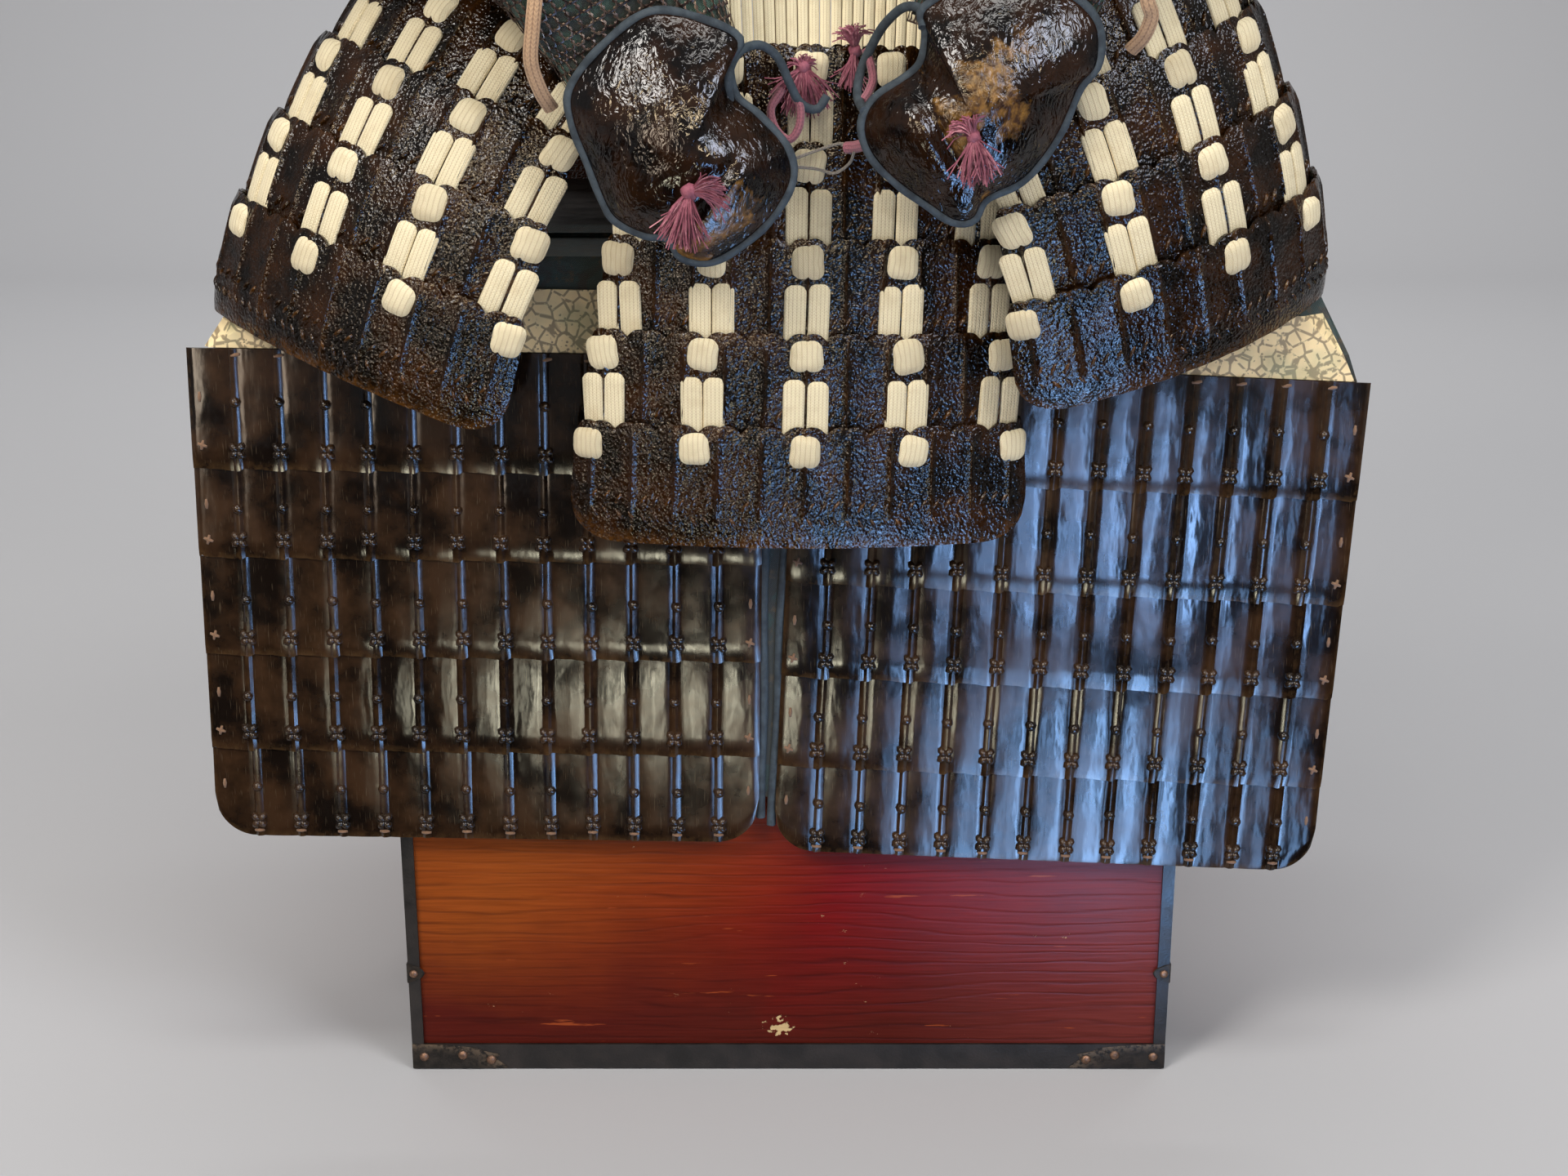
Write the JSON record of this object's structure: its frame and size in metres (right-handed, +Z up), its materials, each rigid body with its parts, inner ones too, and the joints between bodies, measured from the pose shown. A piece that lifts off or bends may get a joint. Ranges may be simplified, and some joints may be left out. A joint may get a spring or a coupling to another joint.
{
  "type": "lamellar armour on an armour chest",
  "caption": "Laced lamellar armour with hanging tassets, plated thigh guard and mail sleeves with hand guards, seated on its lacquered wooden chest.",
  "frame": {"origin": "middle of the underside of the armour chest", "axes": "+Z up, the front of the armour faces -Y, +X to the right in the front view"},
  "size_m": [0.6809, 0.6527, 1.038],
  "materials": {
    "lacquer": "black lacquer over leather scales, glossy, wrinkled",
    "plate": "smooth dark brown lacquer",
    "lacing": "cream flat braid",
    "brocade": "worn green and brown brocade",
    "printed_leather": "printed leather, dark scrolls on cream",
    "mail": "dark mail over green cloth",
    "guard": "dark brown lacquer, worn golden",
    "silk": "faded purple silk",
    "red_lacquer": "red lacquered wood, worn",
    "black_frame": "black lacquered edge",
    "stand": "plain wood"
  },
  "bodies": {
    "root": {"tasset_front_1": "lacquer", "tasset_front_2": "lacquer", "tasset_front_3": "lacquer", "tasset_front_4": "lacquer", "tasset_front_5": "lacquer", "tasset_front_right_1": "lacquer", "tasset_front_right_2": "lacquer", "tasset_front_right_3": "lacquer", "tasset_front_right_4": "lacquer", "tasset_front_right_5": "lacquer", "tasset_side_right_1": "lacquer", "tasset_side_right_2": "lacquer", "tasset_side_right_3": "lacquer", "tasset_side_right_4": "lacquer", "tasset_side_right_5": "lacquer", "tasset_rear_right_1": "lacquer", "tasset_rear_right_2": "lacquer", "tasset_rear_right_3": "lacquer", "tasset_rear_right_4": "lacquer", "tasset_rear_right_5": "lacquer", "tasset_rear_left_1": "lacquer", "tasset_rear_left_2": "lacquer", "tasset_rear_left_3": "lacquer", "tasset_rear_left_4": "lacquer", "tasset_rear_left_5": "lacquer", "tasset_side_left_1": "lacquer", "tasset_side_left_2": "lacquer", "tasset_side_left_3": "lacquer", "tasset_side_left_4": "lacquer", "tasset_side_left_5": "lacquer", "tasset_front_left_1": "lacquer", "tasset_front_left_2": "lacquer", "tasset_front_left_3": "lacquer", "tasset_front_left_4": "lacquer", "tasset_front_left_5": "lacquer", "waist_lacing": "lacing", "body_front": "lacquer", "body_back": "lacquer", "shoulder_strap_left": "lacquer", "shoulder_strap_right": "lacquer", "stand": "stand", "chest_box": "red_lacquer", "chest_frame": "black_frame", "chest_lid": "black_frame", "thigh_plates_left": "plate", "printed_leather_left": "printed_leather", "thigh_plates_right": "plate", "printed_leather_right": "printed_leather", "thigh_guard_cloth": "brocade", "thigh_guard_waistband": "brocade", "sleeve_left": "mail", "sleeve_right": "mail", "hand_guard_left": "guard", "hand_guard_right": "guard", "hand_tassel_left": "silk", "hand_tassel_right": "silk", "loop_tassel_left": "silk", "loop_tassel_right": "silk"}
  },
  "joints": []
}
